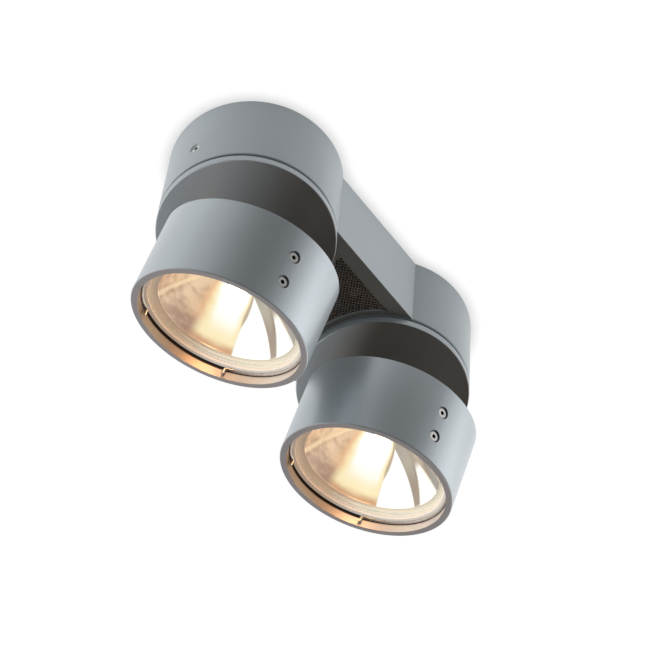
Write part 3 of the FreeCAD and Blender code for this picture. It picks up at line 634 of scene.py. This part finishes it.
def quartzMaterial():
    material, shade = newMaterial("blazingQuartz")
    specks = noise(shade, place(shade), lampLook["specks"]).between(*lampLook["speckRange"])
    passing = shade.node("BsdfTransparent", values={"Color": lampLook["clear"]})
    blaze = shade.node("BsdfPrincipled", values={
        "Base Color": lampLook["quartz"], "Roughness": lampLook["roughness"],
        "Emission Strength": lampLook["fillStrength"],
        "Emission Color": specks.blend(lampLook["fillDeep"], lampLook["fill"])})
    front = 1 - shade.node("NewGeometry", out="Backfacing")
    surface(shade, shade.node("MixShader", values={0: front * lampLook["fillShare"], 1: passing, 2: blaze}))
    return material


def capsuleMesh():
    # Quartz bulb with its hollow, on a flat pinch
    sizes = lampSizes
    radius, hollowRadius = sizes["radius"], sizes["radius"] - sizes["wall"]
    middle = sizes["tip"] + radius
    pinchEnd = sizes["base"] - sizes["pinchLength"]

    def dome(size, turns):
        angles = [math.radians(turn) for turn in turns]
        return [(size * math.sin(angle), middle - size * math.cos(angle)) for angle in angles]

    def top(corners):
        return [(radius * share, pinchEnd + rise) for share, rise in corners]

    outline = dome(radius, range(0, 91, 10)) + top(sizes["shoulder"])
    inside = top(sizes["hollowTop"]) + [(hollowRadius, pinchEnd + sizes["hollowShoulder"])]
    inside += dome(hollowRadius, range(90, -1, -10))
    envelope = spun("envelope", outline, sizes["segments"])
    hollow = spun("hollow", inside, sizes["segments"])
    shape = bmesh.new()
    shape.from_mesh(envelope)
    shape.from_mesh(hollow)
    size = Vector((sizes["pinchThickness"], sizes["pinchWidth"], sizes["pinchLength"]))
    pinch = bmesh.ops.create_cube(shape, size=1.0)["verts"]
    for vert in pinch:
        vert.co = (vert.co * size + Vector((0, 0, sizes["base"] - size.z / 2))) * mm
    edges = {edge for vert in pinch for edge in vert.link_edges}
    bmesh.ops.bevel(shape, geom=list(edges), offset=sizes["pinchEdge"] * mm, segments=3, affect="EDGES")
    shape.to_mesh(envelope)
    shape.free()
    bpy.data.meshes.remove(hollow)
    return envelope


def makeLamp(number, quartz, glow):
    toHead = headMatrix(number)
    body = "head_" + str(number)
    envelope = capsuleMesh()
    envelope.transform(toHead)
    capsule = newPiece("lampCapsule" + str(number), envelope, quartz, body)
    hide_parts("lamp_" + str(number))
    filament = filamentMesh()
    filament.transform(toHead)
    newPiece("lampFilament" + str(number), filament, glow, body)
    light = bpy.data.lights.new("lampLight" + str(number), "POINT")
    light.energy = lampLook["light"]
    light.color = lampLook["lightColour"]
    light.shadow_soft_size = lampLook["lightRadius"]
    holder = bpy.data.objects.new(light.name, light)
    link(holder)
    holder.parent = frame["bodies"][body]
    level = lampSizes["filamentTop"] - lampSizes["filamentLength"] / 2
    holder.location = toHead @ Vector((0, 0, level * mm))


# Vent grille, in millimetres

grilleSizes = {
    "level": -58.0, "thickness": 1.2, "halfWidth": 38.0,
    "canopyGap": 55.8,                          # its ends, from the axis of each canopy
    "border": 36.0, "clear": 57.8,              # no holes beyond these
    "pitch": 2.6, "hole": 0.98,                 # hole is centre to corner
}


def makeGrille(material):
    # Each square hole sits in the middle of a square turned on its corner, and the rest is filled in flat
    pitch, hole, level = grilleSizes["pitch"], grilleSizes["hole"], grilleSizes["level"]
    half = pitch / 2
    shape = bmesh.new()
    corners = {}

    def vertex(x, y):
        return shape.verts.new((x * mm, y * mm, level * mm))

    def corner(x, y):  # one vertex for all the squares that meet there
        key = (round(x * 100), round(y * 100))
        if key not in corners:
            corners[key] = vertex(x, y)
        return corners[key]

    rows = int(grilleSizes["halfWidth"] / half) + 1
    columns = int(halfSpacing / pitch) + 1
    turns = ((half, 0), (0, half), (-half, 0), (0, -half))
    for row in range(-rows, rows + 1):
        for column in range(-columns, columns + 1):
            x = column * pitch + (half if row % 2 else 0)
            y = row * half
            reach = min(math.hypot(x - side * halfSpacing, y) for side in (-1, 1))
            if abs(y) > grilleSizes["halfWidth"] - half or reach < grilleSizes["canopyGap"] + half:
                continue
            outer = [corner(x + dx, y + dy) for dx, dy in turns]
            if abs(y) > grilleSizes["border"] - hole or reach < grilleSizes["clear"] + hole:
                shape.faces.new(outer)
                continue
            share = hole / half
            inner = [vertex(x + dx * share, y + dy * share) for dx, dy in turns]
            for step in range(4):
                after = (step + 1) % 4
                shape.faces.new((outer[step], outer[after], inner[after], inner[step]))
    made = bmesh.ops.extrude_face_region(shape, geom=list(shape.faces))
    raised = [item for item in made["geom"] if isinstance(item, bmesh.types.BMVert)]
    bmesh.ops.translate(shape, verts=raised, vec=(0, 0, grilleSizes["thickness"] * mm))
    bmesh.ops.recalc_face_normals(shape, faces=shape.faces)
    mesh = bpy.data.meshes.new("fineGrille")
    shape.to_mesh(mesh)
    shape.free()
    piece = newPiece("fineGrille", mesh, material, "base", smooth=False)
    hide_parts("vent_grille")
    print("grille made:", len(mesh.polygons), "faces")


# Dressing

units = (1, 2)
plain = {name: plainMaterial(name) for name in plainFinishes}
shell = satinShell("satinShell", shellFinish)
quartz = quartzMaterial()

plainPieces = {
    "bareSteel": ("spring_washer", "stop_pin", "hinge_arm", "hinge_pin", "lamp_carrier", "ceiling_bracket"),
    "brightScrew": ("side_screws", "head_screws", "arm_screws", "lug_screws", "joint_screws",
                    "transformer_screws"),
    "zincCasting": ("hinge_lugs", "joint_blocks"),
    "turnedBrass": ("spindle", "spindle_nut"),
    "springWire": ("retaining_ring",),
    "meshPaint": ("vent_grille",),
    "nylon": ("spindle_bush", "slip_ring", "friction_washers", "terminal_block"),
    "blackCase": ("transformer",),
    "blackRubber": ("cable_grommet",),
    "glazedCeramic": ("lampholder",),
}
wearing = {kind: plain[name] for name, kinds in plainPieces.items() for kind in kinds}
wearing.update({
    "canopy": shell, "bridge_housing": satinShell("satinBridge", bridgeLitFinish),
    "lamp": quartz, "front_glass": glassMaterial(),
})
for number in units:
    headShell = satinShell("satinHead" + str(number), headFinish, number)
    ownLook = {
        "head_tube": headShell, "back_cover": headShell, "turntable": discMaterial(number),
        "reflector": reflectorMaterial(number), "glass_seal": sealMaterial(number),
    }
    wearing.update({kind + "_" + str(number): material for kind, material in ownLook.items()})

for name, piece in frame["nodes"].items():
    kind = name[:-2] if name[-2:] in ("_1", "_2") else name
    piece.data.materials.clear()
    piece.data.materials.append(wearing[name] if name in wearing else wearing[kind])
print("nodes dressed")

glow = glowMaterial()
for number in units:
    makeLamp(number, quartz, glow)
print("lamps made")
makeGrille(plain["meshPaint"])

# Ceiling and light

ceilingSizes = {
    "reach": 1.5, "level": 0.4 * mm,
    "mirrored": ((0.570, -0.822, 0.298), (0.819, 0.573, 0.366)),        # what gloss reflects: way, half size
    "mirroredMiddle": (0.11, 0.0675), "mirroredSoft": 1.0 * mm,
    "paint": 0.25,                              # share that is lit as a painted surface
    "white": 0.95, "contactShadow": 0.60, "contactReach": 12 * mm, "contactRange": (0.35, 0.95), "samples": 8,
    "enclosedShade": rgb(0.03, 0.028, 0.026),        # painted shade where it lies inside the housing
    "bridge": (70.5 * mm, 42.5 * mm), "canopy": 53.5 * mm, "housingSoft": 0.5 * mm,
}


def grey(level):
    return rgb(level, level, level)


def underHousing(shade):  # 1 where the ceiling lies inside the canopies or the bridge
    soft = ceilingSizes["housingSoft"]
    halfLength, halfWidth = ceilingSizes["bridge"]
    x, y, _ = place(shade).parts()
    within = (1 - abs(x).past(halfLength, soft)) * (1 - abs(y).past(halfWidth, soft))
    for side in (-1, 1):
        canopy = 1 - fromAxis(x - side * halfSpacing * mm, y).past(ceilingSizes["canopy"], soft)
        within = within.most(canopy)
    return within


def nearby(shade):  # 1 on the stretch of ceiling that the lacquer mirrors
    x, y, _ = place(shade).parts()
    middleX, middleY = ceilingSizes["mirroredMiddle"]
    near = 1
    for across, along, half in ceilingSizes["mirrored"]:
        off = (x - middleX) * across + (y - middleY) * along
        near = (1 - abs(off).past(half, ceilingSizes["mirroredSoft"])) * near
    return near


def makeCeiling():
    mesh = bpy.data.meshes.new("ceiling")
    reach = ceilingSizes["reach"]
    corners = ((-reach, -reach), (-reach, reach), (reach, reach), (reach, -reach))
    mesh.from_pydata([(x, y, ceilingSizes["level"]) for x, y in corners], [], [(0, 1, 2, 3)])
    ceiling = bpy.data.objects.new("ceiling", mesh)
    link(ceiling)
    material, shade = newMaterial("ceilingPaint")
    path = shade.node("LightPath", out="Is Camera Ray")
    near = nearby(shade)
    seen = path.most(path.other("Is Glossy Ray") * near).most(path.other("Is Transmission Ray") * near)
    # Painted contact shadow of the housing on the ceiling, from ambient occlusion
    settings = {"samples": ceilingSizes["samples"]}
    openness = shade.node("AmbientOcclusion", settings, {"Distance": ceilingSizes["contactReach"]}, out="AO")
    openness = openness.between(*ceilingSizes["contactRange"])
    white = openness.blend(grey(ceilingSizes["contactShadow"]), grey(ceilingSizes["white"]))
    white = underHousing(shade).blend(white, ceilingSizes["enclosedShade"])
    lit = shade.node("BsdfDiffuse", values={"Color": grey(ceilingSizes["paint"])})
    glow = shade.node("Emission", values={"Color": white, "Strength": 1.0})
    paint = shade.node("AddShader", values={0: lit, 1: glow})
    hidden = shade.node("BsdfTransparent")
    back = shade.node("NewGeometry", out="Backfacing")
    surface(shade, shade.node("MixShader", values={0: seen * (1 - back), 1: hidden, 2: paint}))
    mesh.materials.append(material)


# Broad pale windows of the room: azimuth, elevation, level and sharpness of each, over a dim base

roomLight = {
    "base": 0.04,
    "windows": {"right": (92, 8, 1.77, 5), "frontRight": (51, 6, 2.1, 8), "backLeft": (-137, 8, 1.3, 5),
                "left": (-88, 8, 0.75, 5), "back": (180, 8, 0.5, 5)},
}


def makeRoom():
    world = bpy.data.worlds.new("room")
    bpy.context.scene.world = world
    world.use_nodes = True
    world.node_tree.nodes.clear()
    shade = Shade(world.node_tree)
    way = shade.node("TexCoord", out=0)
    level = roomLight["base"]
    for azimuth, elevation, power, sharpness in roomLight["windows"].values():
        turn, lift = math.radians(azimuth), math.radians(elevation)
        middle = (math.sin(turn) * math.cos(lift), -math.cos(turn) * math.cos(lift), math.sin(lift))
        facing = shade.node("VectorMath", {"operation": "DOT_PRODUCT"}, {0: way, 1: middle}, out=1)
        level = math.e ** ((facing - 1) * sharpness) * power + level
    background = shade.node("Background", values={"Color": rgb(1, 1, 1), "Strength": level})
    shade.node("OutputWorld", values={"Surface": background})


# The photograph's viewing angle, in millimetres

cameraStand = {
    "place": (-603.68, -543.08, -1164.61),
    "right": (0.59052343, -0.80457821, 0.06273737),
    "up": (-0.66796311, -0.44366516, 0.59748348),
    "forward": (0.4528878, 0.39473425, 0.79942324),
    "lens": 118.728, "sensor": 36.0, "nearest": 0.05,
}


def makeCamera():
    data = bpy.data.cameras.new("camera")
    data.lens = cameraStand["lens"]
    data.sensor_width = cameraStand["sensor"]
    data.clip_start = cameraStand["nearest"]
    camera = bpy.data.objects.new("camera", data)
    link(camera)
    right, up, forward = (Vector(cameraStand[name]) for name in ("right", "up", "forward"))
    turn = Matrix((right, up, -forward)).transposed().to_4x4()
    camera.matrix_world = Matrix.Translation(Vector(cameraStand["place"]) * mm) @ turn
    bpy.context.scene.camera = camera


makeCeiling()
makeRoom()
makeCamera()
bpy.context.scene.view_settings.view_transform = "Standard"
print("ceiling, light and camera set")
